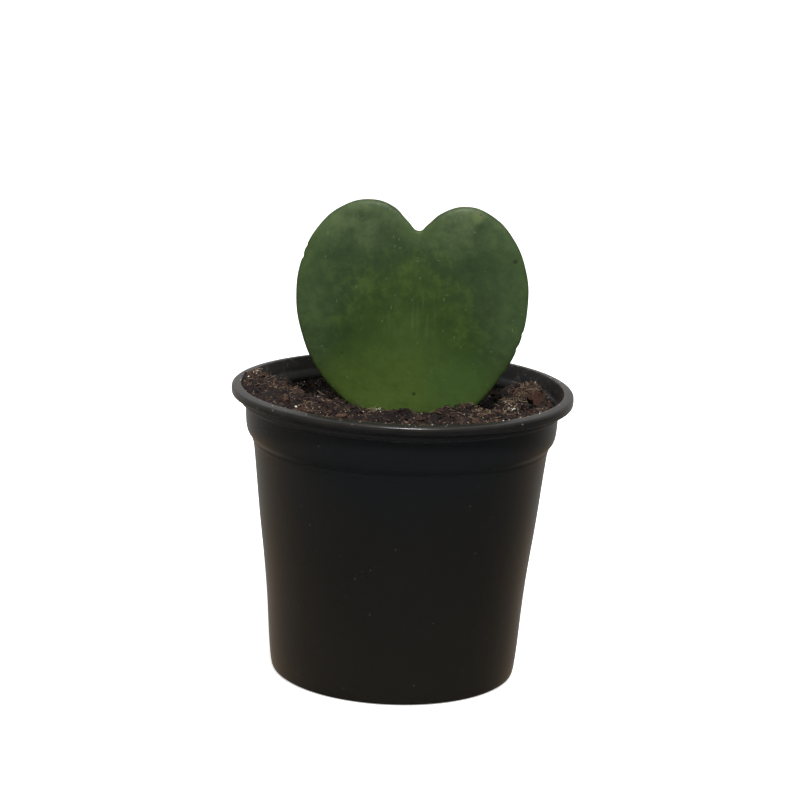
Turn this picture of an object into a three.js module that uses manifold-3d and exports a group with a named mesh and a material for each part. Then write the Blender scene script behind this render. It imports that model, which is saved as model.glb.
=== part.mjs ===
// A potted hoya: one rooted, heart-shaped leaf standing in a 10.5 cm nursery pot of peat and coir.
// Millimetres, +Z up. The origin is the middle of the pot's foot, and the leaf's upper face looks to -Y.
import * as THREE from 'three';
import { mergeVertices } from 'three/addons/utils/BufferGeometryUtils.js';
import Module from 'manifold-3d';

const wasm = await Module();
wasm.setup();

// ---- driving dimensions ----
const potHeight = 90;
const rimRadius = 52.5; // the pot is sold as 10.5 cm, measured over its rim
const collarRadius = 47.85; // the wider band under the rim
const ledgeHeight = 85.1; // top of the collar, where the wall steps out once more
const shoulderRadius = 44.85; // top of the tapered wall
const shoulderHeight = 71;
const kneeRadius = 39.75; // the wall stands a little steeper below this height
const kneeHeight = 25;
const footRadius = 36.5;
const wall = 1; // moulded polypropylene
const floorHeight = 4; // the floor's upper face, lifted off the ground between the foot ring
const footRingWidth = 3.5;
const drainHoles = 8;
const drainRadius = 3.5;
const drainCircle = 25;
const potSides = 56;

const gap = 0.3; // between pieces that touch
const soilLevel = 83.4; // the soil at the leaf's foot
const soilRings = 12;

const leafCentre = { x: 2, z: 112 };
const leafPlane = -3; // y of the blade's middle
const leafHalfThickness = 1.9;
const marginThinning = 0.5; // how much thinner half the blade is at its margin
const outlineSteps = 72;
const thicknessSteps = 14;
const petioleRadius = 1.9;
const petioleBottom = 63;

// ---- helpers ----
function flatten(geometry) {
  const bare = geometry.clone();
  bare.deleteAttribute('normal');
  bare.deleteAttribute('uv');
  return mergeVertices(bare, 1e-4);
}

function toSolid(geometry) {
  const bare = flatten(geometry);
  return new wasm.Manifold(new wasm.Mesh({
    numProp: 3,
    vertProperties: new Float32Array(bare.attributes.position.array),
    triVerts: new Uint32Array(bare.index.array),
  }));
}

function toGeometry(solid) {
  const mesh = solid.getMesh();
  const geometry = new THREE.BufferGeometry();
  geometry.setAttribute('position', new THREE.BufferAttribute(mesh.vertProperties, 3));
  geometry.setIndex(new THREE.BufferAttribute(mesh.triVerts, 1));
  geometry.computeVertexNormals();
  return geometry;
}

// a profile of [radius, height] pairs turned round the Z axis
function turned(profile, sides) {
  const points = profile.map(([radius, height]) => new THREE.Vector2(radius, height));
  return new THREE.LatheGeometry(points, sides).rotateX(Math.PI / 2);
}

// the same stream of numbers from 0 to 1 on every run
function seededRandom(seed) {
  let state = seed;
  return () => {
    state = (state * 1664525 + 1013904223) % 4294967296;
    return state / 4294967296;
  };
}

// ---- pot ----
// the outer face from the foot to the ledge under the rim
const outerWall = [
  [footRadius, 0],
  [footRadius + 1, 0.5],
  [footRadius + 1.5, 1.7],
  [38.8, 10],
  [kneeRadius - 0.35, kneeHeight - 5],
  [kneeRadius + 0.45, kneeHeight + 5],
  [42.6, 50],
  [shoulderRadius, shoulderHeight],
  [shoulderRadius + 0.3, shoulderHeight + 1.4],
  [shoulderRadius + 1.2, shoulderHeight + 2.9],
  [shoulderRadius + 2.1, shoulderHeight + 4],
  [shoulderRadius + 2.5, shoulderHeight + 5],
  [shoulderRadius + 2.8, shoulderHeight + 7],
  [collarRadius, 81],
  [collarRadius, ledgeHeight - 0.3],
];

// the band under the rim and the thick rim that turns outwards, from outside to inside
const bandRadius = collarRadius + 1.6;
const rim = [
  [bandRadius - 0.3, ledgeHeight],
  [bandRadius, ledgeHeight + 0.6],
  [bandRadius, 87.2],
  [rimRadius - 1.5, 87.2],
  [rimRadius - 1.2, 86.8],
  [rimRadius - 0.6, 87.2],
  [rimRadius - 0.2, 87.9],
  [rimRadius, 88.7],
  [rimRadius - 0.2, 89.4],
  [rimRadius - 0.7, 89.85],
  [rimRadius - 1.4, potHeight],
  [rimRadius - 2.8, potHeight],
  [rimRadius - 3.5, 89.6],
  [bandRadius - wall, 87.6],
  [bandRadius - wall - 0.1, ledgeHeight + 1],
  [bandRadius - wall - 0.5, ledgeHeight + 0.4],
];

// the inner face from the ledge down into the trough behind the foot
const innerWall = [
  [collarRadius - wall, ledgeHeight - 0.4],
  [shoulderRadius + 1.9, shoulderHeight + 7],
  [shoulderRadius + 1.5, shoulderHeight + 4.6],
  [shoulderRadius + 0.5, shoulderHeight + 3],
  [shoulderRadius - 0.7, shoulderHeight + 1],
  [shoulderRadius - wall, shoulderHeight],
  [kneeRadius + 0.45 - wall, kneeHeight + 5],
  [38.8 - wall, 10],
  [footRadius + 0.5, 2],
  [footRadius - 0.3, wall],
];

// the trough, the raised floor above and below, and the foot ring that the pot stands on
const troughEdge = footRadius - footRingWidth + 0.4;
const floorAbove = [
  [troughEdge, wall],
  [troughEdge - 1.4, floorHeight],
  [0, floorHeight],
];
const floorBelow = [
  [0, floorHeight - wall],
  [troughEdge - 2.4, floorHeight - wall],
  [footRadius - footRingWidth, 0],
];

function makePot() {
  const shellProfile = [...floorBelow, ...outerWall, ...rim, ...innerWall, ...floorAbove];
  let pot = toSolid(turned(shellProfile, potSides));
  for (let hole = 0; hole <= drainHoles; hole += 1) {
    const onCircle = hole < drainHoles; // the last one is in the middle
    const angle = (hole / drainHoles) * 2 * Math.PI;
    const reach = onCircle ? drainCircle : 0;
    const drill = new THREE.CylinderGeometry(drainRadius, drainRadius, 4 * wall, 16).rotateX(Math.PI / 2);
    drill.translate(reach * Math.cos(angle), reach * Math.sin(angle), floorHeight - wall / 2);
    pot = pot.subtract(toSolid(drill));
  }
  return toGeometry(pot);
}

// ---- leaf ----
// points of the heart, [x, z], from the notch round the left lobe, the base and the right lobe
const heartPoints = [
  [3, 139], [-0.5, 142], [-4.9, 146.4], [-11.8, 148.3], [-19.9, 146], [-27.2, 139],
  [-31.8, 129.1], [-33.5, 118], [-31.7, 106.6], [-26.4, 95], [-17.5, 85.4], [-6, 78.8],
  [3, 76.2], [12, 78.6], [20.8, 83.9], [29.4, 94.2], [34.9, 105.6], [36.8, 118],
  [35.9, 127.6], [31.5, 138.2], [25, 144.8], [17.4, 146.8], [9.8, 144.4], [5.7, 140.9],
];
const heart = new THREE.CatmullRomCurve3(
  heartPoints.map(([x, z]) => new THREE.Vector3(x, 0, z)),
  true,
  'centripetal',
).getSpacedPoints(outlineSteps);

// the blade is a shallow saddle: its sides and its lower edges bend away from the front
const sideBend = 1.6;
const lowerCurl = 1.4;
const topLean = 1.2;
const leafHalfWidth = 35;
const leafHalfLength = 36;

function bladeMiddle(x, z) {
  const across = (x - leafCentre.x) / leafHalfWidth;
  const along = (z - leafCentre.z) / leafHalfLength;
  const low = Math.max(0, -along);
  return leafPlane + sideBend * across * across + lowerCurl * low * low * across * across
    + topLean * Math.max(0, along) * along;
}

// a sphere pressed flat between the two faces of the leaf, its equator drawn out to the heart
function bladeGeometry(grow) {
  const blade = new THREE.SphereGeometry(1, outlineSteps, thicknessSteps);
  const { position, uv } = blade.attributes;
  for (let i = 0; i < position.count; i += 1) {
    const edge = heart[Math.round((uv.getX(i) + 1) * outlineSteps) % outlineSteps];
    const tilt = (1 - uv.getY(i)) * Math.PI;
    const outward = Math.min(1, Math.sin(tilt));
    const reachX = edge.x - leafCentre.x;
    const reachZ = edge.z - leafCentre.z;
    const stretch = outward * (1 + grow / Math.hypot(reachX, reachZ));
    const x = leafCentre.x + reachX * stretch;
    const z = leafCentre.z + reachZ * stretch;
    const full = leafHalfThickness + grow - marginThinning * outward * outward;
    const half = Math.sign(Math.cos(tilt)) * full * Math.sqrt(1 - outward ** 16);
    position.setXYZ(i, x, bladeMiddle(x, z) - half, z);
  }
  return blade;
}

// the petiole, whose upper end runs into the back of the blade as its midrib
function petioleGeometry(grow) {
  const radius = petioleRadius + grow;
  const spindle = turned([
    [0, petioleBottom - grow],
    [radius * 0.8, petioleBottom - grow],
    [radius, petioleBottom + 1.5],
    [radius * 0.95, 78],
    [radius * 0.75, 92],
    [radius * 0.4, 108],
    [0, 116],
  ], 12);
  return spindle.translate(leafCentre.x + 1, leafPlane + 1.1, 0);
}

function leafSolid(grow) {
  return toSolid(bladeGeometry(grow)).add(toSolid(petioleGeometry(grow)));
}

// ---- soil ----
// heaps and hollows: where, how far above or below the level, and how wide
const heaps = [
  { x: -43, y: -6, rise: 4.4, width: 14 },
  { x: -38, y: 21, rise: 3.6, width: 10 },
  { x: -22, y: 6, rise: 1.8, width: 5 },
  { x: -18, y: 18, rise: -3.4, width: 8 },
  { x: -16, y: 42, rise: 1, width: 10 },
  { x: -24, y: -36, rise: 3.2, width: 13 },
  { x: 6, y: -45, rise: 3.4, width: 15 },
  { x: 32, y: -32, rise: 3, width: 13 },
  { x: 37, y: 11, rise: 4.4, width: 9 },
  { x: 27, y: 5, rise: -3.8, width: 5 },
  { x: 24, y: 38, rise: -1.8, width: 14 },
];
const rippleHeight = 0.6;
const rippleLength = 9;
const coarseness = 1.5; // how far the crumbly surface rises and falls from one spot to the next
const smoothRadius = 8; // round the middle, where the leaf's foot parts the soil, it is smoother

function soilHeight(x, y) {
  let height = soilLevel;
  for (const heap of heaps) {
    const away = Math.hypot(x - heap.x, y - heap.y) / heap.width;
    height += heap.rise * Math.exp(-away * away);
  }
  const turns = (2 * Math.PI) / rippleLength;
  height += rippleHeight * Math.sin(turns * x + 2 * Math.sin(y / 3)) * Math.cos(turns * y + x / 4);
  return height;
}

function soilBody(random) {
  const edgeRadius = innerWall[0][0] - 1.4 * gap;
  const side = innerWall.slice(1).reverse().map(([radius, height]) => [radius - 1.2 * gap, height + gap]);
  const profile = [
    [0, floorHeight + gap],
    [troughEdge - 1.4 + gap, floorHeight + gap],
    [troughEdge + gap * 1.2, wall + gap],
    ...side,
  ];
  const firstTop = profile.length;
  for (let ring = soilRings; ring >= 0; ring -= 1) {
    profile.push([(edgeRadius * ring) / soilRings, soilLevel]);
  }
  const body = turned(profile, potSides);
  const { position } = body.attributes;
  const bumps = Array.from({ length: potSides * profile.length }, () => random() - 0.5);
  for (let i = 0; i < position.count; i += 1) {
    if (i % profile.length >= firstTop) {
      const x = position.getX(i);
      const y = position.getY(i);
      const bump = bumps[i % bumps.length] * Math.min(1, Math.hypot(x, y) / smoothRadius);
      position.setZ(i, soilHeight(x, y) + coarseness * bump);
    }
  }
  return toSolid(body);
}

// a rough lump: a faceted ball with each corner pushed in or out
function lump(radius, detail, random) {
  const ball = flatten(new THREE.IcosahedronGeometry(radius, detail));
  const { position } = ball.attributes;
  for (let i = 0; i < position.count; i += 1) {
    const push = 0.75 + 0.45 * random();
    position.setXYZ(i, position.getX(i) * push, position.getY(i) * push, position.getZ(i) * push * 0.8);
  }
  return ball.rotateZ(2 * Math.PI * random());
}

// the clods that stand out of the surface
const clods = [
  { x: 38, y: 13, radius: 5 },
  { x: 32.5, y: 8, radius: 3.2 },
  { x: 30, y: 17, radius: 4 },
  { x: 41, y: 4, radius: 3.2 },
  { x: -24, y: 4, radius: 3 },
  { x: -33, y: 9, radius: 3.4 },
  { x: -41, y: -6, radius: 3 },
  { x: -30, y: -14, radius: 2.8 },
  { x: 18, y: -16, radius: 2.6 },
  { x: 2, y: -22, radius: 2.4 },
];
const crumbCount = 130;
const crumbRadius = { least: 1.2, most: 2.8 };
const crumbReach = 43;
const leafClearance = 4;

function makeSoil() {
  const random = seededRandom(7);
  let soil = soilBody(random);
  for (const clod of clods) {
    const ball = lump(clod.radius, 1, random);
    ball.translate(clod.x, clod.y, soilHeight(clod.x, clod.y) - 0.3 * clod.radius);
    soil = soil.add(toSolid(ball));
  }
  for (let i = 0; i < crumbCount; i += 1) {
    const angle = 2 * Math.PI * random();
    const reach = crumbReach * Math.sqrt(random());
    const x = reach * Math.cos(angle);
    const y = reach * Math.sin(angle);
    const radius = crumbRadius.least + (crumbRadius.most - crumbRadius.least) * random();
    const crumb = lump(radius, 0, random);
    if (Math.abs(y - leafPlane) > leafClearance) {
      crumb.translate(x, y, soilHeight(x, y) - 0.25 * radius);
      soil = soil.add(toSolid(crumb));
    }
  }
  return toGeometry(soil.subtract(leafSolid(1.5 * gap)));
}

// ---- the plant ----
const black = new THREE.MeshStandardMaterial({ color: 0x1f1f1f, roughness: 0.5, metalness: 0 });
const green = new THREE.MeshStandardMaterial({ color: 0x3c5228, roughness: 0.45, metalness: 0 });
const brown = new THREE.MeshStandardMaterial({ color: 0x3b2c25, roughness: 0.95, metalness: 0 });

const pot = new THREE.Mesh(makePot(), black);
pot.name = 'pot';

const soil = new THREE.Mesh(makeSoil(), brown);
soil.name = 'soil';

const leaf = new THREE.Mesh(toGeometry(leafSolid(0)), green);
leaf.name = 'leaf';

const plant = new THREE.Group();
plant.add(pot, soil, leaf);
export default plant;
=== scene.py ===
import math
import random

import bmesh
import bpy
import numpy as np
from mathutils import Matrix, Vector, noise


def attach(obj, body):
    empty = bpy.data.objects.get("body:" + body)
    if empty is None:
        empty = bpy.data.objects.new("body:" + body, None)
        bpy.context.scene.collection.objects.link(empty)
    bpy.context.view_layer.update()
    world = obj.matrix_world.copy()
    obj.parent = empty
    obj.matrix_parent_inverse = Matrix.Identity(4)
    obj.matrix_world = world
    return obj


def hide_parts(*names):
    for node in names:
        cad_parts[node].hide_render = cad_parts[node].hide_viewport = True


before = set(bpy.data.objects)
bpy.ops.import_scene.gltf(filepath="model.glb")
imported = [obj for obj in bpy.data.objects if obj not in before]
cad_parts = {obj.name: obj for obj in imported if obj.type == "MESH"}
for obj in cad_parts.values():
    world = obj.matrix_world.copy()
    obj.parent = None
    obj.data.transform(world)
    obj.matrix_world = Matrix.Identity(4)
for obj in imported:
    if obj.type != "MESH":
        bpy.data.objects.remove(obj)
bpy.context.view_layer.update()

mm = 0.001


# ---- small helpers ----
def toLinear(hexColour):
    parts = [int(hexColour[i:i + 2], 16) / 255 for i in (1, 3, 5)]
    return tuple(c / 12.92 if c <= 0.04045 else ((c + 0.055) / 1.055) ** 2.4 for c in parts) + (1,)


def addNode(tree, kind, settings=None, links=None):
    node = tree.nodes.new(kind)
    for key, value in (settings or {}).items():
        if key == "stops":  # of a colour ramp: (place, hex colour) pairs
            ramp = node.color_ramp
            while len(ramp.elements) < len(value):
                ramp.elements.new(0.5)
            for element, (place, colour) in zip(ramp.elements, value):
                element.position = place
                element.color = toLinear(colour)
        elif isinstance(key, int) or key in node.inputs:
            node.inputs[key].default_value = value
        else:
            setattr(node, key, value)
    for key, source in (links or {}).items():
        tree.links.new(source, node.inputs[key])
    return node


def mask(tree, value, start, end, most=1.0, least=0.0):  # least up to start, most from end on
    return addNode(tree, "ShaderNodeMapRange", {
        "From Min": start, "From Max": end, "To Min": least, "To Max": most},
        {"Value": value}).outputs["Result"]


def calculate(tree, operation, *values):  # each value is a number or another node's output
    numbers = {i: value for i, value in enumerate(values) if isinstance(value, (int, float))}
    links = {i: value for i, value in enumerate(values) if i not in numbers}
    return addNode(tree, "ShaderNodeMath", {"operation": operation, **numbers}, links).outputs[0]


def product(tree, first, *others):
    for other in others:
        first = calculate(tree, "MULTIPLY", first, other)
    return first


def ramp(tree, stops, value):
    return addNode(tree, "ShaderNodeValToRGB", {"stops": stops}, {"Fac": value}).outputs["Color"]


def tinted(tree, colour, strength, tint):
    return addNode(tree, "ShaderNodeMix", {"data_type": "RGBA", 7: toLinear(tint)},
                   {0: strength, 6: colour}).outputs[2]


def clouds(tree, place, scale, detail, roughness=0.5):
    return addNode(tree, "ShaderNodeTexNoise", {
        "Scale": scale, "Detail": detail, "Roughness": roughness}, {"Vector": place}).outputs["Fac"]


def cells(tree, place, scale):  # how far the nearest cell's middle is, and that cell's own number
    voronoi = addNode(tree, "ShaderNodeTexVoronoi", {"Scale": scale, "Randomness": 1.0},
                      {"Vector": place})
    own = addNode(tree, "ShaderNodeSeparateColor", links={"Color": voronoi.outputs["Color"]})
    return voronoi.outputs["Distance"], own.outputs["Red"]


def awayFrom(tree, place, point):
    return addNode(tree, "ShaderNodeVectorMath", {"operation": "DISTANCE", 1: point},
                   {0: place}).outputs["Value"]


def makeSurface(tree, settings, links, grain, strength, depth):
    bump = addNode(tree, "ShaderNodeBump", {"Strength": strength, "Distance": depth},
                   {"Height": grain})
    shader = addNode(tree, "ShaderNodeBsdfPrincipled", settings,
                     {**links, "Normal": bump.outputs["Normal"]})
    addNode(tree, "ShaderNodeOutputMaterial", links={"Surface": shader.outputs[0]})


def newMaterial(name):
    material = bpy.data.materials.new(name)
    material.use_nodes = True
    material.node_tree.nodes.clear()
    return material, material.node_tree


def startPiece():
    if bpy.context.object and bpy.context.object.mode != "OBJECT":
        bpy.ops.object.mode_set(mode="OBJECT")
    bpy.ops.object.select_all(action="DESELECT")


def activate(*pieces):
    startPiece()
    for piece in pieces:
        piece.select_set(True)
    bpy.context.view_layer.objects.active = pieces[0]


def applyAll(piece):
    activate(piece)
    for modifier in list(piece.modifiers):
        bpy.ops.object.modifier_apply(modifier=modifier.name)


def settle(piece):  # leaves the object at the origin, with its place in its mesh
    activate(piece)
    bpy.ops.object.transform_apply(location=True, rotation=True, scale=True)


def fixNormals(piece):
    activate(piece)
    bpy.ops.object.mode_set(mode="EDIT")
    bpy.ops.mesh.select_all(action="SELECT")
    bpy.ops.mesh.remove_doubles(threshold=0.001 * mm)
    bpy.ops.mesh.normals_make_consistent(inside=False)
    bpy.ops.object.mode_set(mode="OBJECT")


def finishPiece(piece, material, stands=None):
    piece.data.materials.clear()
    piece.data.materials.append(material)
    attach(piece, "root")
    if stands:
        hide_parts(stands)


# ---- camera: a hand-held shot through a long lens, a little above the rim ----
camera = {
    "distance": 0.9207,  # from the middle of the pot
    "height": 0.0451,  # of that middle
    "elevation": 16.13,  # degrees
    "roll": 2.27,  # degrees
    "lens": 133.4,  # mm
    "aimRight": -0.00091,  # the view's middle, off the pot's middle, per metre of distance
    "aimUp": 0.04313,
}


def makeCamera():
    elevation, roll = math.radians(camera["elevation"]), math.radians(camera["roll"])
    back = Vector((0, -math.cos(elevation), math.sin(elevation)))
    level = Vector((1, 0, 0))
    upright = back.cross(level)
    right = math.cos(roll) * level + math.sin(roll) * upright
    up = math.cos(roll) * upright - math.sin(roll) * level
    aim = (camera["aimUp"] * up - camera["aimRight"] * right - back).normalized()
    right = (right - right.dot(aim) * aim).normalized()
    place = Matrix((right, right.cross(aim), -aim)).transposed().to_4x4()
    place.translation = Vector((0, 0, camera["height"])) + camera["distance"] * back
    data = bpy.data.cameras.new("camera")
    data.sensor_width = 36
    data.lens = camera["lens"]
    data.clip_start = 0.01
    shot = bpy.data.objects.new("camera", data)
    shot.matrix_world = place
    bpy.context.scene.collection.objects.link(shot)
    bpy.context.scene.camera = shot


makeCamera()
print("camera placed")

# ---- nursery pot ----
nurseryPot = {
    "sides": 160,
    # [radius, height] in mm: floor underside, foot, outer wall, rim, inner wall, floor
    "profile": [
        [31, 3], [32.6, 0.3], [33, 0], [36.6, 0], [37.6, 0.5], [38.1, 1.7], [38.95, 10], [39.5, 20],
        [40.4, 30], [41.65, 40], [42.95, 50], [43.95, 60], [44.8, 68], [45.3, 72.2], [45.55, 72.75],
        [45.68, 73.1], [45.7, 73.45], [45.67, 73.8], [45.85, 74.15], [46.35, 74.8],
        [47, 75.6], [47.4, 76.4], [47.75, 78], [47.95, 81], [48, 84.6], [48.05, 84.95], [49.2, 85.05],
        [49.7, 85.2], [49.75, 85.45], [49.5, 85.7], [49.4, 86], [49.4, 86.7], [49.6, 87], [51, 87.1],
        [51.3, 86.9], [51.9, 87], [52.35, 87.3], [52.5, 87.8], [52.5, 88.9], [52.4, 89.3],
        [52.1, 89.58], [51.7, 89.7], [50.8, 89.88], [49.9, 89.95], [49.55, 89.9], [49.45, 89.75],
        [49.35, 89.4], [48.9, 88], [48.5, 86.8], [48.35, 86], [48.1, 85.6], [47.3, 84.4],
        [46.95, 83.6], [46.75, 78], [46.4, 76], [45.5, 74.6], [44.4, 72.5], [43.9, 71], [41.8, 50],
        [39.4, 30], [37.9, 10], [37, 2], [36.2, 1], [33.4, 1], [32, 4],
    ],
    # how the thin rim has warped, in mm, at its top and at its foot: all round, then along x and y,
    # then twice round
    "warpTop": [0.46, 0.07, -0.39, -0.02, 0.21],
    "warpFoot": [0.14, -0.25, -0.62, -0.21, 0.17],
    "warpFrom": [84.5, 86.5],  # the heights where the warp sets in
    "lipFoot": 87,
    "lipTop": 90,
    "drainRadius": 3.5,
    "drainCircle": 25,
    "drainHoles": 8,
    "drill": {"sides": 40, "length": 4, "middle": 3.5},
}


def turnProfile(name, profile, sides, x=0, y=0, rounded=False):
    # a circle at the first pair, extruded and widened or narrowed to each next one, then closed
    startPiece()
    radius, height = profile[0]
    bpy.ops.mesh.primitive_circle_add(vertices=sides, radius=radius * mm,
                                      location=(x * mm, y * mm, height * mm))
    piece = bpy.context.object
    piece.name = name
    bpy.ops.object.mode_set(mode="EDIT")
    bpy.ops.mesh.select_mode(type="EDGE")
    bpy.ops.mesh.select_all(action="SELECT")
    for nextRadius, nextHeight in profile[1:]:
        bpy.ops.mesh.extrude_edges_move(
            TRANSFORM_OT_translate={"value": (0, 0, (nextHeight - height) * mm)})
        bpy.ops.transform.resize(value=(nextRadius / radius, nextRadius / radius, 1),
                                 center_override=(x * mm, y * mm, nextHeight * mm))
        radius, height = nextRadius, nextHeight
    bpy.ops.object.mode_set(mode="OBJECT")
    settle(piece)
    if rounded:
        roundOff(piece)
    closeEnds(piece)
    return piece


def roundOff(piece):
    rounding = piece.modifiers.new("rounding", "SUBSURF")
    rounding.levels = rounding.render_levels = 1
    applyAll(piece)


def closeEnds(piece):  # after roundOff, which is slow on a face of many sides
    activate(piece)
    bpy.ops.object.mode_set(mode="EDIT")
    bpy.ops.mesh.select_all(action="SELECT")
    bpy.ops.mesh.fill_holes(sides=0)
    bpy.ops.object.mode_set(mode="OBJECT")
    fixNormals(piece)


def rimWarp(x, y, z):  # how far a point near the rim has been lifted
    angle = math.atan2(y, x)
    waves = 1, math.cos(angle), math.sin(angle), math.cos(2 * angle), math.sin(2 * angle)
    top, foot = [sum(share * wave for share, wave in zip(nurseryPot[warp], waves))
                 for warp in ("warpTop", "warpFoot")]
    low, high = nurseryPot["warpFrom"]
    upLip = max(0, z - nurseryPot["lipFoot"]) / (nurseryPot["lipTop"] - nurseryPot["lipFoot"])
    return (foot + (top - foot) * upLip) * min(1, max(0, (z - low) / (high - low)))


def makePot():
    pot = turnProfile("nurseryPot", nurseryPot["profile"], nurseryPot["sides"], rounded=True)
    drills, size = [], nurseryPot["drill"]
    for hole in range(nurseryPot["drainHoles"] + 1):  # the last one is in the middle
        angle = 2 * math.pi * hole / nurseryPot["drainHoles"]
        reach = nurseryPot["drainCircle"] * mm if hole < nurseryPot["drainHoles"] else 0
        startPiece()
        bpy.ops.mesh.primitive_cylinder_add(
            vertices=size["sides"], radius=nurseryPot["drainRadius"] * mm, depth=size["length"] * mm,
            location=(reach * math.cos(angle), reach * math.sin(angle), size["middle"] * mm))
        drills.append(bpy.context.object)
    activate(*drills)
    bpy.ops.object.join()
    drill = bpy.context.object
    settle(drill)
    cut = pot.modifiers.new("drainHoles", "BOOLEAN")
    cut.operation = "DIFFERENCE"
    cut.solver = "EXACT"
    cut.object = drill
    applyAll(pot)
    bpy.data.objects.remove(drill)
    for vertex in pot.data.vertices:
        vertex.co.z += rimWarp(vertex.co.x / mm, vertex.co.y / mm, vertex.co.z / mm) * mm
    activate(pot)
    bpy.ops.object.shade_smooth_by_angle(angle=math.radians(40))
    return pot


# black polypropylene, injection moulded: satin, so it greys where it turns away, with a painted
# reflection in its colour, warm on the lower wall and cool towards the rim, and dust specks on the
# collar
polypropylene = {
    # near black, with a painted reflection: warm towards the foot, cool towards the rim
    "body": [(0.0, "#12100d"), (0.5, "#0e0d0c"), (0.82, "#0a0c0e"), (1.0, "#090b0e")],
    # painted highlight on the ledge's edge, then paler bands on the lip's face and top: height and
    # half spread in mm, hex colour
    "paintedHighlightAndPaleBands": [[85.45, 0.2, "#15171a"], [88.4, 1.2, "#0f0f0f"], [90.4, 1.1, "#181614"]],
    "dust": "#8b8883",
    "smear": "#544d48",
    "sheen": "#d9c3a8",
}


def makePolypropylene():
    material, tree = newMaterial("mouldedBlackPolypropylene")
    place = addNode(tree, "ShaderNodeTexCoord").outputs["Object"]
    height = addNode(tree, "ShaderNodeSeparateXYZ", links={"Vector": place}).outputs["Z"]
    cloud = clouds(tree, place, 55, 3)
    # painted reflection: the colour runs by height from warm at the foot to cool at the rim
    level = calculate(tree, "ADD", mask(tree, height, 0, 0.09),
                      calculate(tree, "MULTIPLY_ADD", cloud, 0.3, -0.15))
    colour = ramp(tree, polypropylene["body"], level)
    # painted highlight along the ledge's edge under the lip, where the real edge catches light, and
    # paler patches on the lip's face and top
    patchiness = mask(tree, clouds(tree, place, 160, 4), 0.35, 0.65, least=0.3)
    for middle, spread, tint in polypropylene["paintedHighlightAndPaleBands"]:
        near = calculate(tree, "COMPARE", height, middle * mm, spread * mm)
        colour = tinted(tree, colour, product(tree, near, patchiness), tint)
    # dust: specks of a third of a millimetre, some millimetres apart, faint below the rim
    away, own = cells(tree, place, 420)
    chosen = calculate(tree, "GREATER_THAN", own, 0.86)
    dust = product(tree, mask(tree, away, 0.13, 0.05, 0.4), chosen,
                   mask(tree, height, 0.074, 0.084, least=0.3))
    colour = tinted(tree, colour, dust, polypropylene["dust"])
    # and soil dust in smears of a few millimetres on the wall above the soil, which leans: it is
    # half a millimetre further out at the lip than at the ledge
    across = addNode(tree, "ShaderNodeVectorMath", {"operation": "MULTIPLY", 1: (1, 1, 0)},
                     {0: place})
    radius = addNode(tree, "ShaderNodeVectorMath", {"operation": "LENGTH"}, {0: across.outputs[0]})
    lean = calculate(tree, "MULTIPLY_ADD", height, -0.3, radius.outputs["Value"])
    smear = product(tree, mask(tree, lean, 0.0233, 0.0228, 0.5),
                    mask(tree, clouds(tree, place, 330, 6, 0.75), 0.52, 0.72),
                    mask(tree, height, 0.0845, 0.086))
    colour = tinted(tree, colour, smear, polypropylene["smear"])
    makeSurface(tree, {"Specular IOR Level": 0.3, "Sheen Weight": 0.01, "Sheen Roughness": 0.5,
                       "Sheen Tint": toLinear(polypropylene["sheen"])},
                {"Base Color": colour, "Roughness": mask(tree, cloud, 0, 1, 0.33, 0.25)},
                clouds(tree, place, 1400, 2), 0.12, 0.0002)
    return material


finishPiece(makePot(), makePolypropylene(), "pot")
print("pot made")

# ---- leaf ----
leaf = {
    # [x, z] in mm round the heart, from the notch down the left side and up the right one
    "outline": [
        [3.1, 139.3], [-0.5, 142.2], [-4.9, 146.4], [-11.8, 148.3], [-20.2, 146], [-27.6, 139.2],
        [-32.2, 129.3], [-33.6, 118], [-31.7, 106.6], [-26.4, 95], [-17.5, 85.4], [-6, 78.8],
        [3, 76.2], [12, 78.6], [20.8, 83.9], [29.4, 94.2], [35.1, 105.6], [37.1, 118],
        [36.1, 127.7], [31.5, 138.1], [24.7, 144.7], [17.2, 147.1], [9.6, 144.8], [5.6, 141.3],
    ],
    "centre": [2, 112],
    "plane": -3,  # y of the blade's middle
    "halfThickness": 1.9,
    "marginThinning": 0.5,
    "halfWidth": 35,
    "halfLength": 36,
    "sideBend": 1.6,
    "lowerCurl": 1.4,
    "topLean": 1.2,
    "rings": 44,
    "midribX": 3,
    "midribRise": 1.05,
    "midribTop": 108,
    "midribFade": 30,  # the length over which it sinks into the blade
    "grooveDepth": 0.3,
    "petiole": [[1.5, 63], [1.9, 64.5], [1.8, 78], [1.45, 90], [0.9, 98], [0.3, 100]],
    # nicks in the margin: degrees round the centre from +x, width in degrees, depth in mm
    "nicks": [[152, 1.2, 0.35], [147, 0.9, 0.2], [-6, 0.9, 0.3], [-14, 1.4, 0.35], [-31, 1.1, 0.25],
              [204, 1.0, 0.2]],
    # height and length in mm of its soft dents and of its fine puckers
    "dents": [[0.22, 11], [0.05, 3.5]],
}


def drawHeart():
    startPiece()
    data = bpy.data.curves.new("heart", "CURVE")
    data.dimensions = "3D"
    data.resolution_u = 10
    line = data.splines.new("BEZIER")
    line.bezier_points.add(len(leaf["outline"]) - 1)
    for point, (x, z) in zip(line.bezier_points, leaf["outline"]):
        point.co = (x * mm, leaf["plane"] * mm, z * mm)
        point.handle_left_type = point.handle_right_type = "AUTO"
    line.use_cyclic_u = True
    heart = bpy.data.objects.new("hoyaLeaf", data)
    bpy.context.scene.collection.objects.link(heart)
    activate(heart)
    bpy.ops.object.convert(target="MESH")
    return bpy.context.object


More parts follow.
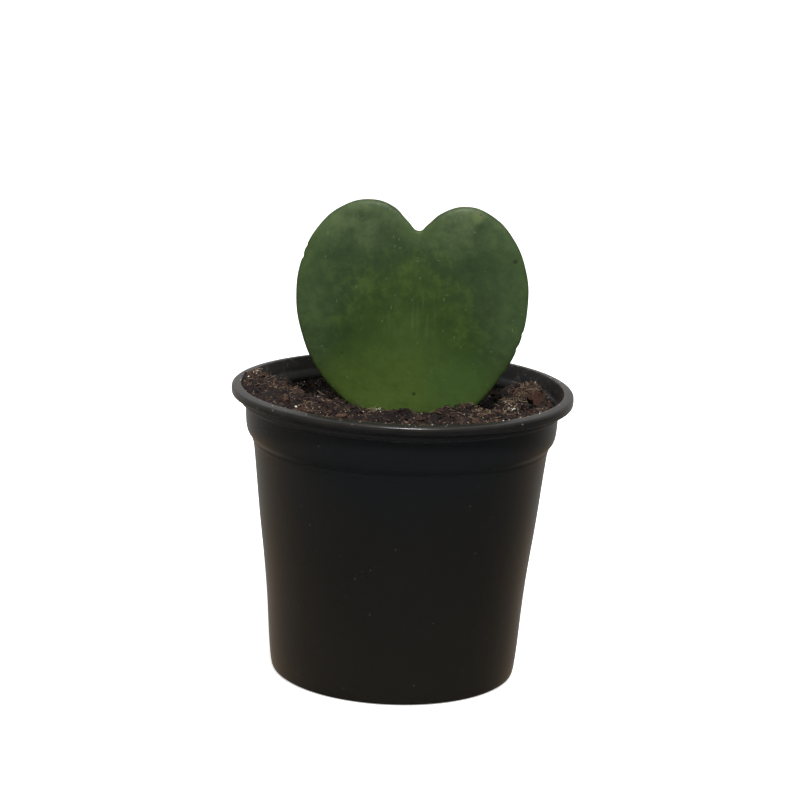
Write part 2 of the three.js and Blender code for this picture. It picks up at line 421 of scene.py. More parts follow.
def makeBlade():
    blade = drawHeart()
    centreX, centreZ = leaf["centre"]
    points = [(v.co.x / mm - centreX, v.co.z / mm - centreZ) for v in blade.data.vertices]
    middle = (centreX * mm, leaf["plane"] * mm, centreZ * mm)
    bpy.ops.object.mode_set(mode="EDIT")
    bpy.ops.mesh.select_mode(type="EDGE")
    bpy.ops.mesh.select_all(action="SELECT")

    def ring(step):  # how far out, and how far in front of the middle, as a pressed ball goes
        tilt = math.pi * step / leaf["rings"]
        reach = math.sin(tilt)
        full = leaf["halfThickness"] - leaf["marginThinning"] * reach ** 2
        half = full * math.sqrt(1 - reach ** 40)
        return reach, -half if tilt < math.pi / 2 else half

    reach, depth = ring(1)
    bpy.ops.transform.resize(value=(reach, 1, reach), center_override=middle)
    bpy.ops.transform.translate(value=(0, depth * mm, 0))
    for step in range(2, leaf["rings"]):
        nextReach, nextDepth = ring(step)
        bpy.ops.mesh.extrude_edges_move(
            TRANSFORM_OT_translate={"value": (0, (nextDepth - depth) * mm, 0)})
        share = nextReach / reach
        bpy.ops.transform.resize(value=(share, 1, share), center_override=middle)
        reach, depth = nextReach, nextDepth
    bpy.ops.object.mode_set(mode="OBJECT")
    roundOff(blade)
    closeEnds(blade)

    # how far each point lies between the middle, 0, and the margin, 1
    angles = np.array([math.atan2(z, x) for x, z in points])
    order = np.argsort(angles)
    angles, reaches = angles[order], np.hypot(*np.array(points).T)[order]
    places = np.empty(len(blade.data.vertices) * 3, np.float32)
    blade.data.vertices.foreach_get("co", places)
    places = places.reshape(-1, 3).astype(float) / mm
    x, y, z = places.T
    away = np.hypot(x - centreX, z - centreZ)
    angle = np.arctan2(z - centreZ, x - centreX)
    share = away / np.interp(angle, angles, reaches, period=2 * math.pi)

    # nicks in the margin
    for degrees, width, deep in leaf["nicks"]:
        off = (np.degrees(angle) - degrees + 180) % 360 - 180
        bite = deep * np.exp(-(off / width) ** 2) * np.clip((share - 0.85) / 0.15, 0, 1)
        x -= bite * np.cos(angle)
        z -= bite * np.sin(angle)

    # the bend of the whole blade, the midrib behind and its groove in front
    across = (x - centreX) / leaf["halfWidth"]
    along = (z - centreZ) / leaf["halfLength"]
    low, high = np.maximum(0, -along), np.maximum(0, along)
    fromPlane = y - leaf["plane"]
    y += (leaf["sideBend"] * across ** 2 + leaf["lowerCurl"] * low ** 2 * across ** 2
          + leaf["topLean"] * high * along)
    fade = np.clip((leaf["midribTop"] - z) / leaf["midribFade"], 0, 1)
    rib = np.exp(-((x - leaf["midribX"]) / (0.9 + 0.7 * fade)) ** 2)
    y += np.where(fromPlane > 0, leaf["midribRise"] * fade * rib, 0)
    groove = (np.exp(-((x - leaf["midribX"]) / 1.6) ** 2) * np.clip((z - 100) / 30, 0, 1)
              * np.clip((1 - share) / 0.05, 0, 1))
    y += np.where(fromPlane < 0, leaf["grooveDepth"] * groove, 0)
    for i in range(len(x)):
        spot = Vector((x[i], 0.0 if fromPlane[i] < 0 else 40.0, z[i]))
        y[i] += sum(height * noise.noise(spot / length) for height, length in leaf["dents"])
    blade.data.vertices.foreach_set("co", (np.stack([x, y, z], 1) * mm).astype(np.float32).ravel())
    return blade


def makeLeaf():
    blade = makeBlade()
    petiole = turnProfile("petiole", leaf["petiole"], 20, x=leaf["midribX"], y=leaf["plane"] + 1.1)
    activate(blade, petiole)
    bpy.ops.object.join()
    bpy.ops.object.shade_smooth()
    return bpy.context.object


# a thick hoya leaf under a waxy cuticle: dull satin, dark bluish green where the wax is thick,
# yellow-green in the middle and at the foot, where painted light also lifts the shade near the soil,
# paler towards the top with haze and painted light from above, and mottled all over
leafLook = {
    "wax": [(0.36, "#1a2813"), (0.5, "#1e2c14"), (0.64, "#233116")],
    "yellow": [(0.36, "#1c2d0c"), (0.5, "#21320d"), (0.64, "#26380f")],
    # the foot's yellow-green, also painted light near the soil
    "foot": "#3a4a1e",
    "notch": "#3c4b28",
    "side": "#2e3d20",
    # haze and painted light from above on the lobes' tops
    "hazeAndPaintedToplight": "#3c482e",
    "glow": [0.001, 0.094, 0.03, 0.046],  # middle and half axes, in x and z
    "fleck": "#566445",
    # wax flecks: size of the cells, how they are stretched, their lean, the share that stays bare,
    # strength
    "flecks": [[650, (1, 1, 0.45), 0.35, 0.78, 0.35], [650, (0.5, 1, 1), 0.3, 0.84, 0.3],
               [1100, (1, 1, 1), 0, 0.8, 0.25]],
    "deep": "#19260f",
    "pale": "#4e5e33",
    # spots and a cool patch: x, z, radius in mm, strength, hex colour
    "spots": [
        [17, 92, 14, 0.33, "#294322"], [32.5, 131, 0.9, 0.75, "#161809"],
        [3.4, 89.2, 0.75, 0.75, "#1a1a09"], [20.6, 144, 2.3, 0.45, "#4b5532"],
        [21.5, 144.9, 0.5, 0.75, "#2b2413"], [-19, 101, 0.5, 0.75, "#1b230d"],
        [-20.5, 87, 2.6, 0.6, "#3a3a18"],
    ],
}


def makeCuticle(blade):
    material, tree = newMaterial("waxyLeafCuticle")
    place = addNode(tree, "ShaderNodeTexCoord").outputs["Object"]
    axes = addNode(tree, "ShaderNodeSeparateXYZ", links={"Vector": place}).outputs

    # blotches of a centimetre with mottling of 3 mm on them
    blotch = clouds(tree, place, 95, 4, 0.6)
    mottle = clouds(tree, place, 340, 4, 0.65)
    mixed = calculate(tree, "MULTIPLY_ADD", blotch, 0.5, calculate(tree, "MULTIPLY", mottle, 0.5))
    wax, yellow = ramp(tree, leafLook["wax"], mixed), ramp(tree, leafLook["yellow"], mixed)
    glowX, glowZ, glowWide, glowTall = leafLook["glow"]
    glowPlace = addNode(tree, "ShaderNodeMapping", {
        "vector_type": "TEXTURE", "Location": (glowX, 0, glowZ), "Scale": (glowWide, 0.1, glowTall)},
        {"Vector": place})
    glow = addNode(tree, "ShaderNodeTexGradient", {"gradient_type": "SPHERICAL"},
                   {"Vector": glowPlace.outputs[0]})
    glowing = calculate(tree, "MULTIPLY_ADD", mixed, 0.5, glow.outputs["Fac"])
    colour = addNode(tree, "ShaderNodeMix", {"data_type": "RGBA"},
                     {0: mask(tree, glowing, 0.34, 0.62), 6: wax, 7: yellow}).outputs[2]
    # paler down at the foot, and higher up beside the midrib than at the sides: partly the leaf's own
    # yellow-green, partly painted light that lifts the shade near the soil and the rim
    side = calculate(tree, "ABSOLUTE", calculate(tree, "SUBTRACT", axes["X"], 0.0005))
    wedge = calculate(tree, "MULTIPLY_ADD", side, 0.65, axes["Z"])
    ragged = calculate(tree, "MULTIPLY_ADD", mixed, 0.03, wedge)
    colour = tinted(tree, colour, mask(tree, ragged, 0.132, 0.108, 0.8), leafLook["foot"])
    colour = tinted(tree, colour, mask(tree, axes["Z"], 0.101, 0.091, 0.5), leafLook["foot"])
    # paler at the lobes' tops, with haze and painted light from above, and paler round the notch and
    # along the sides
    lifted = calculate(tree, "ADD", axes["Z"], mask(tree, side, 0, 0.012, 0.0045))
    upper = product(tree, mask(tree, lifted, 0.1355, 0.1505, 0.95), mask(tree, blotch, 0.25, 0.6))
    colour = tinted(tree, colour, upper, leafLook["hazeAndPaintedToplight"])
    notch = mask(tree, awayFrom(tree, place, (0.003, -0.005, 0.141)), 0.008, 0.002, 0.6)
    colour = tinted(tree, colour, notch, leafLook["notch"])
    colour = tinted(tree, colour, mask(tree, side, 0.02, 0.035, 0.6), leafLook["side"])
    # the mottling's dark and pale ends
    colour = tinted(tree, colour, mask(tree, mixed, 0.5, 0.36, 0.3), leafLook["deep"])
    colour = tinted(tree, colour, mask(tree, mixed, 0.5, 0.64, 0.08), leafLook["pale"])
    # dashes of wax under a millimetre, leaning either way, and fine dots
    for size, squash, lean, share, strength in leafLook["flecks"]:
        slim = addNode(tree, "ShaderNodeMapping", {"Scale": squash, "Rotation": (0, lean, 0)},
                       {"Vector": place})
        away, own = cells(tree, slim.outputs[0], size)
        flecks = product(tree, mask(tree, away, 0.2, 0.05, strength),
                         mask(tree, own, share, share + 0.1))
        colour = tinted(tree, colour, flecks, leafLook["fleck"])
    # faint streaks beside the midrib
    fine = addNode(tree, "ShaderNodeMapping", {"Scale": (9, 1, 1)}, {"Vector": place})
    beside = mask(tree, awayFrom(tree, place, (0.003, -0.005, 0.112)), 0.012, 0.002, 0.12)
    streaks = mask(tree, clouds(tree, fine.outputs[0], 90, 2), 0.52, 0.66)
    colour = tinted(tree, colour, product(tree, beside, streaks), leafLook["fleck"])
    for x, z, radius, strength, tint in leafLook["spots"]:
        hit, front, *_ = blade.ray_cast(Vector((x * mm, -0.05, z * mm)), Vector((0, 1, 0)))
        away = awayFrom(tree, place, front if hit else (x * mm, leaf["plane"] * mm, z * mm))
        near = mask(tree, away, radius * mm, 0.4 * radius * mm, strength)
        colour = tinted(tree, colour, near, tint)
    makeSurface(tree, {"Specular IOR Level": 0.14},
                {"Base Color": colour, "Roughness": mask(tree, blotch, 0, 1, 0.42, 0.56)},
                clouds(tree, place, 700, 3), 0.25, 0.0003)
    return material


hoyaLeaf = makeLeaf()
finishPiece(hoyaLeaf, makeCuticle(hoyaLeaf), "leaf")
print("leaf made")

# ---- soil ----
soil = {
    "level": 83.4,
    "heaps": [  # x, y, rise, width in mm
        [-47, -6, 6.3, 15], [-46, 9, 4.4, 10], [-22, 6, 1.8, 5], [-20, 24, -5, 12], [-16, 42, 1, 10],
        [-24, -36, 3.2, 13], [6, -45, 3.4, 15], [32, -32, 3, 13], [37, 11, 4.4, 9], [27, 5, -3.8, 5],
        [24, 38, -1.8, 14], [19.5, -8, 3.5, 5.8], [-20, -8, 3, 5],
    ],
    "ripple": [0.6, 9],  # height and length
    "across": 97,
    "cell": 0.52,
    "radius": 47.9,
    # kind of texture, its size and its height in mm
    "relief": [["VORONOI", 4.5, -1.8], ["CLOUDS", 2.6, 2.6], ["CLOUDS", 0.9, 1.2]],
    # painted shade in front of the leaf, beside its right foot and behind its left side: x, y, how far
    # it spreads, how much darker
    "paintedShade": [[4, -16, 15, 0.2], [25, 7, 7, 0.22], [-24, 22, 16, 0.36]],
    # how far out the soil reaches at each height: inside the collar, on the ledge, inside the lip
    "wall": [[85.2, 46.5], [85.7, 48], [86.8, 48.35], [88, 48.75], [89.5, 49.2], [90, 49.4]],
    # radius and height of the plug of soil below, down inside the wall
    "sides": [[48.1, 85.5], [46.6, 84.9], [46.3, 78], [45.9, 75.6], [43.5, 71], [41.1, 50], [38.8, 30],
              [37.4, 10], [36.4, 2.2], [33.9, 1.5], [32.5, 4.5]],
}


def soilHeight(x, y):
    height = soil["level"]
    for heapX, heapY, rise, width in soil["heaps"]:
        height += rise * math.exp(-((x - heapX) ** 2 + (y - heapY) ** 2) / width ** 2)
    rippleHeight, rippleLength = soil["ripple"]
    turns = 2 * math.pi / rippleLength
    waves = math.sin(turns * x + 2 * math.sin(y / 3)) * math.cos(turns * y + x / 4)
    return height + rippleHeight * waves


def addRelief(piece, kind, size, strength, direction="NORMAL"):
    texture = bpy.data.textures.new("relief", kind)
    texture.noise_scale = size * mm
    if kind == "CLOUDS":
        texture.noise_depth = 3
    relief = piece.modifiers.new("relief", "DISPLACE")
    relief.texture = texture
    relief.texture_coords = "LOCAL"
    relief.strength = strength * mm
    relief.mid_level = 0.5
    relief.direction = direction


def wallAt(point):  # how far out the soil may reach there
    heights, reaches = zip(*soil["wall"])
    return float(np.interp(point.z - rimWarp(*point), heights, reaches))


def makeSoilBed():
    startPiece()
    parts = int(soil["across"] / soil["cell"])
    bpy.ops.mesh.primitive_grid_add(x_subdivisions=parts, y_subdivisions=parts,
                                    size=soil["across"] * mm, location=(0, 0, soil["level"] * mm))
    bed = bpy.context.object
    bed.name = "soilBed"
    settle(bed)
    bpy.ops.object.mode_set(mode="EDIT")
    bpy.ops.mesh.select_mode(type="FACE")
    edit = bmesh.from_edit_mesh(bed.data)
    for face in edit.faces:
        middle = face.calc_center_median()
        face.select_set(math.hypot(middle.x, middle.y) > soil["radius"] * mm)
    bmesh.update_edit_mesh(bed.data)
    bpy.ops.mesh.delete(type="FACE")
    bpy.ops.object.mode_set(mode="OBJECT")
    for vertex in bed.data.vertices:
        vertex.co.z = soilHeight(vertex.co.x / mm, vertex.co.y / mm) * mm
    for kind, size, strength in soil["relief"]:
        addRelief(bed, kind, size, strength, "Z")
    applyAll(bed)

    bpy.ops.object.mode_set(mode="EDIT")
    edit = bmesh.from_edit_mesh(bed.data)
    border = {v for e in edit.edges if e.is_boundary for v in e.verts}
    for vertex in edit.verts:
        away, limit = math.hypot(vertex.co.x, vertex.co.y), wallAt(vertex.co / mm) * mm
        if vertex in border or away > limit:
            vertex.co.x *= limit / away
            vertex.co.y *= limit / away
    bpy.ops.mesh.select_mode(type="EDGE")
    for edge in edit.edges:
        edge.select_set(edge.is_boundary)
    bmesh.update_edit_mesh(bed.data)
    for radius, height in soil["sides"]:
        bpy.ops.mesh.extrude_edges_move()
        edit = bmesh.from_edit_mesh(bed.data)
        for vertex in edit.verts:
            if vertex.select:
                share = min(1, radius * mm / math.hypot(vertex.co.x, vertex.co.y))
                vertex.co = (vertex.co.x * share, vertex.co.y * share, min(vertex.co.z, height * mm))
        bmesh.update_edit_mesh(bed.data)
    bpy.ops.object.mode_set(mode="OBJECT")
    closeEnds(bed)
    bpy.ops.object.shade_smooth()
    return bed


def topOf(x, y, *pieces):  # the height of the highest of these pieces at a place
    height = soil["level"] - 4
    for piece in pieces:
        hit, point, *_ = piece.ray_cast(Vector((x * mm, y * mm, 0.2)), Vector((0, 0, -1)))
        if hit:
            height = max(height, point.z / mm)
    return height


def somewhere(chance, reach):
    while True:
        angle, away = chance.uniform(0, 2 * math.pi), reach * math.sqrt(chance.random())
        x, y = away * math.cos(angle), away * math.sin(angle)
        if all(math.hypot(x - bareX, y - bareY) > bare for bareX, bareY, bare in clods["bare"]):
            return x, y


def pullIn(x, y, limit):
    away = math.hypot(x, y)
    return (x, y) if away < limit else (x * limit / away, y * limit / away)


def insidePot(x, y, height, room):  # kept that far off the wall, but for what stands over the lip
    return pullIn(x, y, wallAt(Vector((x, y, height))) - room * min(1, max(0.2, 90 - height)))


def takeShape(piece):  # the points and triangles of a model, which is then put away
    activate(piece)
    bpy.ops.object.mode_set(mode="EDIT")
    bpy.ops.mesh.select_all(action="SELECT")
    bpy.ops.mesh.quads_convert_to_tris()
    bpy.ops.object.mode_set(mode="OBJECT")
    points = np.array([v.co for v in piece.data.vertices])
    corners = np.array([p.vertices for p in piece.data.polygons])
    bpy.data.objects.remove(piece)
    return points, corners


def setTone(mesh, tones):
    mesh.attributes.new("tone", "FLOAT", "POINT").data.foreach_set("value", tones)


def strew(name, shapes, places, smooth=True):
    # one mesh of many copies: places holds the shape's number, its matrix and its tone
    points, corners, tones, start = [], [], [], 0
    for number, place, tone in places:
        shapePoints, shapeCorners = shapes[number]
        turn = np.array(place.to_3x3())
        points.append(shapePoints @ turn.T + np.array(place.translation))
        corners.append(shapeCorners + start)
        tones.append(np.full(len(shapePoints), tone, np.float32))
        start += len(shapePoints)
    mesh = bpy.data.meshes.new(name)
    mesh.from_pydata(np.concatenate(points).tolist(), [], np.concatenate(corners).tolist())
    setTone(mesh, np.concatenate(tones))
    piece = bpy.data.objects.new(name, mesh)
    bpy.context.scene.collection.objects.link(piece)
    activate(piece)
    if smooth:
        bpy.ops.object.shade_smooth()
    return piece


def anyTurn(chance):
    axis = Vector((chance.gauss(0, 1), chance.gauss(0, 1), chance.gauss(0, 1)))
    return Matrix.Rotation(chance.uniform(0, 2 * math.pi), 4, axis.normalized())


def placed(x, y, z, turn, size):  # in mm
    return Matrix.Translation(Vector((x, y, z)) * mm) @ turn @ Matrix.Scale(size * mm, 4)


clods = {
    # x, y, radius, height of the middle in mm, relief, tone
    "lumps": [
        [38, 10, 4.4, 85.2, 1, 0.68], [39.8, 11, 2.8, 88, 0.8, 0.68], [34.5, 17, 4.8, 83.8, 0.2, 0.55],
        [32, 4, 2.6, 83.6, 1, 0.5], [-24, 4, 3, 84, 1, 0.5], [-33, 9, 3.2, 83.4, 1, 0.5],
        [-40, -8, 3, 85.6, 1, 0.5], [-30, -14, 2.8, 83.8, 1, 0.7], [18, -16, 2.6, 83.2, 1, 0.5],
        [2, -22, 2.4, 83, 0.6, 0.15], [-6, -24, 2.6, 83.2, 0.6, 0.1], [9, -26, 2.4, 83.4, 0.6, 0.2],
        [-38, 20, 3.4, 83.6, 1, 0.3],
    ],
    "flatFaced": [41.3, 4.6, 2.8, 87.2, 1, 0.84],  # and the cut that leaves its flat face
    "flatFrom": [0.5, -0.6, 0.2],
    "flatTowards": [0.7, -0.65, 0.2],
    "bare": [[34.5, 16, 5], [42.4, 3, 1.3]],  # x, y, radius where no crumbs lie on them
}

crumbs = {
    "seed": 11,
    "shapes": 6,
    "fine": [[7600, 0.16, 0.5]],  # count, least and most radius in mm
    "coarse": [[620, 0.5, 1.5], [260, 0.6, 1.3]],  # lumps, then flakes of bark
    "reach": 48.5,
    "sunk": 0.2,
    "leafHalf": 20,  # the blade's foot: half its width where it enters the soil
}


def makeCrumbShapes(detail, jitter, size=(1, 0.85, 0.65)):
    shapes = []
    for seed in range(crumbs["shapes"]):
        startPiece()
        bpy.ops.mesh.primitive_ico_sphere_add(subdivisions=detail, radius=1)
        ball = bpy.context.object
        bpy.ops.object.mode_set(mode="EDIT")
        bpy.ops.mesh.select_all(action="SELECT")
        bpy.ops.transform.vertex_random(offset=jitter, uniform=0.6, normal=0.5, seed=seed)
        bpy.ops.transform.resize(value=size)
        bpy.ops.object.mode_set(mode="OBJECT")
        if detail > 1:  # down to four dozen faces
            ball.modifiers.new("fewer", "DECIMATE").ratio = 0.6
            applyAll(ball)
        shapes.append(takeShape(ball))
    return shapes


def clearOfLeaf(x, y, radius):  # moves a crumb's y out of the blade
    middle = leaf["plane"] + leaf["sideBend"] * ((x - leaf["centre"][0]) / leaf["halfWidth"]) ** 2
    room = leaf["halfThickness"] + 0.75 * radius
    if abs(x - leaf["centre"][0]) > crumbs["leafHalf"] + radius or abs(y - middle) > room:
        return y
    return middle + math.copysign(room, y - middle)


def makeCrumbs(name, kinds, shapes, *ground):
    chance = random.Random(crumbs["seed"])
    places = []
    for kind, (count, least, most) in enumerate(kinds):
        for i in range(count):
            x, y = somewhere(chance, crumbs["reach"])
            radius = least + (most - least) * chance.random() ** 2
            y = clearOfLeaf(x, y, radius)
            height = topOf(x, y, *ground)
            x, y = insidePot(x, y, height, 0.7 * radius)
            number = kind * crumbs["shapes"] + chance.randrange(crumbs["shapes"])
            place = placed(x, y, height + crumbs["sunk"] * radius, anyTurn(chance), radius)
            places.append((number, place, chance.random()))
    return strew(name, shapes, places, smooth=False)


fibres = {
    "seed": 23,
    "shapes": 10,  # of each kind
    # count, least and most length in mm, thickness as a share of it, how steeply they may stand
    "kinds": [[4200, 0.7, 2.4, 0.032, 0.3], [300, 2.5, 6, 0.01, 0.15]],
    # tufts: x, y, spread, count, of fibres this long
    "tufts": [
        [-23, 3, 2.5, 60], [-12, -33, 3, 40], [38, 9, 4, 130], [33, -3, 4, 50], [-40, 10, 5, 60],
        [40, 16, 3, 40], [32, 3, 2.2, 70], [-28, -10, 6, 80], [-42, 14, 4, 60], [23, -9, 3, 70],
    ],
    "tuftLength": [1.2, 3],
    # single long ones, from one end to the other
    "standing": [[30.5, 19, 87, 33, 16.4, 91]],
    "reach": 47.5,
}


def makeFibreShapes(chance, thickness):
    shapes = []
    for number in range(fibres["shapes"]):
        startPiece()
        data = bpy.data.curves.new("fibre", "CURVE")
        data.dimensions = "3D"
        data.resolution_u = 1
        data.bevel_resolution = 0
        data.use_fill_caps = True
        data.bevel_depth = thickness
        line = data.splines.new("NURBS")
        line.points.add(4)
        place, heading = Vector((-0.5, 0, 0)), 0
        for point in line.points:
            point.co = (*place, 1)
            heading += chance.gauss(0, 0.4)
            place = place + Vector((0.25 * math.cos(heading), 0.25 * math.sin(heading),
                                    chance.uniform(-0.05, 0.06)))
        line.use_endpoint_u = True
        line.order_u = 3
        curve = bpy.data.objects.new("fibre", data)
        bpy.context.scene.collection.objects.link(curve)
        activate(curve)
        bpy.ops.object.convert(target="MESH")
        shapes.append(takeShape(bpy.context.object))
    return shapes


def makeFibres(*ground):
    chance = random.Random(fibres["seed"])
    shapes, spots, tones = [], [], []
    for count, least, most, thickness, rear in fibres["kinds"]:
        first = len(shapes)
        shapes += makeFibreShapes(chance, thickness)
        for i in range(count):
            x, y = somewhere(chance, fibres["reach"])
            spots.append((x, y, chance.uniform(least, most), rear, first))
            tones.append(chance.random())
    for tuftX, tuftY, spread, count in fibres["tufts"]:
        for i in range(count):
            x, y = tuftX + chance.gauss(0, spread), tuftY + chance.gauss(0, spread)
            spots.append((x, y, chance.uniform(*fibres["tuftLength"]), 0.4, 0))
            tones.append(chance.uniform(0.5, 1.1))
    places = []
    for (x, y, length, rear, first), tone in zip(spots, tones):
        x, y = pullIn(x, clearOfLeaf(x, y, 0.45 * length), fibres["reach"] - 0.35 * length)
        height = topOf(x, y, *ground)
        if height < soil["wall"][0][0] + 1.5:
            x, y = pullIn(x, y, soil["wall"][0][1] - 0.5 * length)
            height = topOf(x, y, *ground)
        turn = (Matrix.Rotation(chance.uniform(0, 2 * math.pi), 4, "Z")
                @ Matrix.Rotation(chance.gauss(0, rear), 4, "Y")
                @ Matrix.Rotation(chance.uniform(0, 2 * math.pi), 4, "X"))
        place = placed(x, y, height + chance.uniform(0.1, 0.6), turn, length)
        places.append((first + chance.randrange(fibres["shapes"]), place, tone))
    for ends in fibres["standing"]:
        start, end = Vector(ends[:3]), Vector(ends[3:])
        turn = (end - start).to_track_quat("X", "Z").to_matrix().to_4x4()
        places.append((fibres["shapes"], placed(*(start + end) / 2, turn, (end - start).length), 0.9))
    return strew("coirFibres", shapes, places)


perlite = {
    "seed": 5,
    "count": 280,
    "radius": [0.1, 0.34],
    # x, y, radius of the grains that catch the eye
    "grains": [
        [-32.1, -13.7, 0.58], [-31.2, -14.2, 0.3], [-40.1, 11, 0.32], [-34.7, 12, 0.27],
        [-23.3, 10, 0.27], [-6.7, -4.5, 0.42], [-7.8, -5, 0.34], [-4.1, -20, 0.3], [-10.5, -31.4, 0.3],
        [41.1, 12, 0.3], [42, 10, 0.26], [39, 14, 0.26], [-36.5, 10, 0.3], [-27, -12, 0.27],
        [-20, -26, 0.29], [20, -20, 0.29], [12, -30, 0.29], [38, -14, 0.29], [25, -12, 0.29],
    ],
    # drifts: x, y, spread, count
    "drifts": [[-36, 26, 1.2, 18], [-32.5, 28, 1, 10], [-28.5, 28, 0.8, 5], [-44.5, 19, 1.6, 10],
               [-45.3, 7, 1.3, 8], [31.6, 1.8, 1.2, 20], [34.6, -1, 0.8, 7], [-7, -4.8, 0.8, 6]],
    # crumbs and dust that lie on the lip
    "onLip": 90,
    "lipReach": [49, 51.6],
    "lipRadius": [0.06, 0.2],
    "lipGrains": [[37.4, -33.4, 0.36], [40.9, -29.2, 0.3], [35, -35.2, 0.26], [31.6, -38, 0.24],
                  [43, -25.6, 0.22], [-48.6, -9, 0.17], [-49, 4, 0.17], [-47.4, -14, 0.2]],
}


def makePerlite(pot, *ground):
    chance = random.Random(perlite["seed"])
    shapes = makeCrumbShapes(1, 0.35, (1, 0.7, 0.55))
    # x, y, radius, how far it is lifted, what it lies on
    spots = [(x, y, radius, 0.5, ground) for x, y, radius in perlite["grains"]]
    spots += [(x, y, radius, 0, (pot,)) for x, y, radius in perlite["lipGrains"]]
    low, high = perlite["radius"]
    for i in range(perlite["count"]):
        x, y = somewhere(chance, crumbs["reach"])
        spots.append((x, y, low + (high - low) * chance.random() ** 2, 0.3, ground))
    for x, y, spread, count in perlite["drifts"]:
        for i in range(count):
            spots.append((x + chance.gauss(0, spread), y + chance.gauss(0, spread),
                          chance.uniform(low, high), 0.2, ground))
    for i in range(perlite["onLip"]):
        angle, away = chance.uniform(0, 2 * math.pi), chance.uniform(*perlite["lipReach"])
        spots.append((away * math.cos(angle), away * math.sin(angle),
                      chance.uniform(*perlite["lipRadius"]), 0, (pot,)))
    places = []
    for x, y, radius, lift, under in spots:
        if under is ground:
            y = clearOfLeaf(x, y, radius)
            x, y = insidePot(x, y, topOf(x, y, *ground), radius)
        height = topOf(x, y, *under) + 0.35 * radius + lift
        number = chance.randrange(crumbs["shapes"])
        places.append((number, placed(x, y, height, anyTurn(chance), radius), chance.random()))
    return strew("perliteGrains", shapes, places, smooth=False)


def makeClods():
    lumps = []
    for x, y, radius, height, relief, tone in clods["lumps"] + [clods["flatFaced"]]:
        startPiece()
        bpy.ops.mesh.primitive_ico_sphere_add(
            subdivisions=4, radius=radius * mm, location=(x * mm, y * mm, height * mm),
            scale=(1, 1, 0.8))
        lump = bpy.context.object
        settle(lump)
        addRelief(lump, "CLOUDS", 0.9 * radius, 0.9 * radius * relief)
        addRelief(lump, "CLOUDS", 0.9, 0.8 * relief)
        applyAll(lump)
        lumps.append(lump)
        if len(lumps) > len(clods["lumps"]):
            bpy.ops.object.mode_set(mode="EDIT")
            bpy.ops.mesh.select_all(action="SELECT")
            bpy.ops.mesh.bisect(plane_co=Vector((x, y, height)) * mm + Vector(clods["flatFrom"]) * mm,
                                plane_no=clods["flatTowards"], use_fill=True, clear_outer=True)
            bpy.ops.object.mode_set(mode="OBJECT")
        setTone(lump.data, np.full(len(lump.data.vertices), tone, np.float32))
    activate(*lumps)
    bpy.ops.object.join()
    bpy.context.object.name = "peatClods"
    bpy.ops.object.shade_smooth_by_angle(angle=math.radians(50))
    return bpy.context.object


# damp peat and coir dust: matt, from near black to red-brown, with painted shade in patches
def makePeat(name, stops, reads):
    material, tree = newMaterial(name)
    place = addNode(tree, "ShaderNodeTexCoord").outputs["Object"]
    if reads == "tone":
        own = addNode(tree, "ShaderNodeAttribute", {"attribute_name": "tone"}).outputs["Fac"]
    else:
        own = clouds(tree, place, 260, 5, 0.7)
    level = calculate(tree, "MULTIPLY_ADD", own, 0.95, -0.44)
    # grain under a millimetre, and patches of a centimetre, damper and drier
    fine, patch = clouds(tree, place, 1500, 3, 0.7), clouds(tree, place, 90, 1)
    for source, share in [(fine, 0.4), (patch, 0.6)]:
        level = calculate(tree, "MULTIPLY_ADD", source, share, level)
    # painted shade: darker patches where shade falls in front of the leaf and beside and behind it
    for x, y, spread, darker in soil["paintedShade"]:
        away = awayFrom(tree, place, (x * mm, y * mm, 84 * mm))
        paintedShade = mask(tree, away, spread * mm, 0.5 * spread * mm, -darker)
        level = calculate(tree, "ADD", level, paintedShade)
    makeSurface(tree, {"Roughness": 0.85, "Specular IOR Level": 0.25},
                {"Base Color": ramp(tree, stops, level)}, fine, 0.6, 0.0004)
    return material


soilBed = makeSoilBed()
print("soil bed made")
peatClods = makeClods()
ground = soilBed, peatClods
peatCrumbs = makeCrumbs("peatCrumbs", crumbs["fine"], makeCrumbShapes(1, 0.35), *ground)
peatLumps = makeCrumbs("peatLumps", crumbs["coarse"],
                       makeCrumbShapes(2, 0.35) + makeCrumbShapes(2, 0.25, (1, 0.8, 0.3)), *ground)
coirFibres = makeFibres(*ground)
perliteGrains = makePerlite(bpy.data.objects["nurseryPot"], *ground)
print("crumbs, fibres and perlite strewn")

# colours of each piece, from its dark to its pale grains
peatTones = {
    "bed": [(0.25, "#070303"), (0.5, "#120907"), (0.75, "#21150f")],
    "clods": [(0.2, "#11090a"), (0.4, "#221615"), (0.6, "#291d13"), (1.0, "#3d251c")],
    "crumbs": [(0.15, "#070302"), (0.4, "#180b07"), (0.6, "#2b1b15"), (0.8, "#433328"),
               (1.0, "#675544")],
    "lumps": [(0.15, "#0b0504"), (0.4, "#1a0f0d"), (0.6, "#271913"), (0.9, "#3c2b21")],
    "fibres": [(0.15, "#0f0806"), (0.5, "#2e1f17"), (0.75, "#574536"), (1.0, "#7b6b57")],
    "perlite": [(0.1, "#6a665a"), (0.5, "#979184"), (0.9, "#cdc9ba")],
}

finishPiece(soilBed, makePeat("dampPeat", peatTones["bed"], "place"), "soil")
finishPiece(peatClods, makePeat("peatClods", peatTones["clods"], "tone"))
finishPiece(peatCrumbs, makePeat("peatCrumbs", peatTones["crumbs"], "tone"))
finishPiece(peatLumps, makePeat("peatLumps", peatTones["lumps"], "tone"))
finishPiece(coirFibres, makePeat("coirFibre", peatTones["fibres"], "tone"))
finishPiece(perliteGrains, makePeat("perlite", peatTones["perlite"], "tone"))

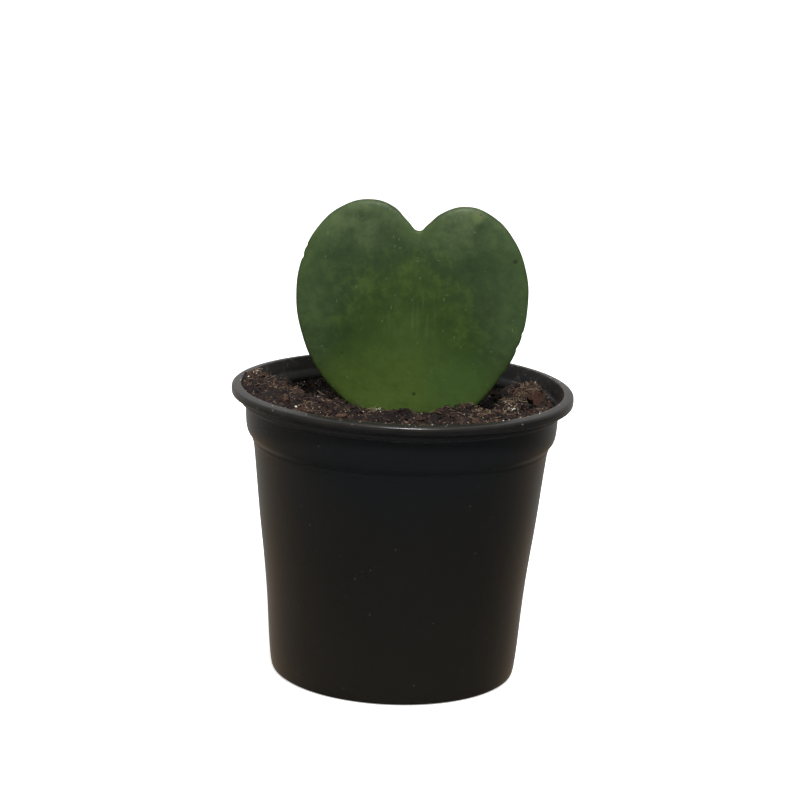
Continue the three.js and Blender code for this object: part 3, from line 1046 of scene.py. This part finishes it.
# ---- floor and light ----
studio = {
    "floorSize": 60,
    "domeTop": (-0.15, 0.35, 0.92),
    "dome": [(0.2, "#3a3938"), (0.46, "#a6a29d"), (0.56, "#b4b1ad"), (0.8, "#bcbcbc"),
             (0.93, "#ffffff")],
    # from straight down to 17 degrees below the horizon
    "warmth": [(0.0, "#dfd8d0"), (0.6, "#f4e4d0"), (0.87, "#ffe6c7"), (1.0, "#fffefc")],
    "strip": [(-0.36, -0.3), (-0.12, -0.24)],  # the dark strip's lower and upper edges
    "keyPower": 20,
    "keySize": 0.18,
    "keyPlace": (0.075, -0.7, 0.92),
    "keyAim": (0, 0, 0.09),
}


def makeStudio():
    startPiece()
    bpy.ops.mesh.primitive_plane_add(size=studio["floorSize"], location=(0, 0, -0.05 * mm))
    floor = bpy.context.object
    floor.name = "floor"
    material, tree = newMaterial("paleFloor")
    shader = addNode(tree, "ShaderNodeBsdfPrincipled", {
        "Base Color": toLinear("#f6f6f4"), "Roughness": 0.9, "Specular IOR Level": 0.1,
        "Emission Color": (1, 1, 1, 1), "Emission Strength": 0.6})
    addNode(tree, "ShaderNodeOutputMaterial", links={"Surface": shader.outputs[0]})
    floor.data.materials.append(material)
    floor.visible_glossy = False
    scene = bpy.context.scene
    world = bpy.data.worlds.new("studio")
    scene.world = world
    world.use_nodes = True
    # a dome that leans to the left: white overhead, grey at the horizon, and below it the dim warm
    # room that the gloss shows in place of the floor
    tree = world.node_tree
    facing = addNode(tree, "ShaderNodeTexCoord").outputs["Generated"]
    axes = addNode(tree, "ShaderNodeSeparateXYZ", links={"Vector": facing}).outputs
    height = addNode(tree, "ShaderNodeVectorMath", {"operation": "DOT_PRODUCT", 1: studio["domeTop"]},
                     {0: facing})
    dome = ramp(tree, studio["dome"], mask(tree, height.outputs["Value"], -1, 1))
    warmth = ramp(tree, studio["warmth"], mask(tree, axes["Z"], -0.9, -0.3))
    light = addNode(tree, "ShaderNodeMix", {"data_type": "RGBA", "blend_type": "MULTIPLY", 0: 1.0},
                    {6: dome, 7: warmth}).outputs[2]
    # just below the horizon it is darker on the near side, where the upright collar mirrors it, and
    # on the right the dark reaches a little above the horizon
    rightwards = calculate(tree, "MAXIMUM", axes["X"], 0)
    lowered = calculate(tree, "MULTIPLY_ADD", rightwards, -0.3, axes["Z"])
    shade = mask(tree, axes["Y"], 0.95, 0.15, 0.8)
    for (start, end), across in zip(studio["strip"], (axes["Z"], lowered)):
        shade = product(tree, shade, mask(tree, across, start, end))
    tree.links.new(tinted(tree, light, shade, "#000000"), tree.nodes["Background"].inputs["Color"])
    key = bpy.data.lights.new("key", "AREA")
    key.energy = studio["keyPower"]
    key.size = studio["keySize"]
    lamp = bpy.data.objects.new("key", key)
    lamp.location = studio["keyPlace"]
    towards = Vector(studio["keyAim"]) - lamp.location
    lamp.rotation_euler = towards.to_track_quat("-Z", "Y").to_euler()
    scene.collection.objects.link(lamp)
    scene.view_settings.view_transform = "Standard"
    scene.view_settings.look = "None"


makeStudio()
print("floor and lights set")
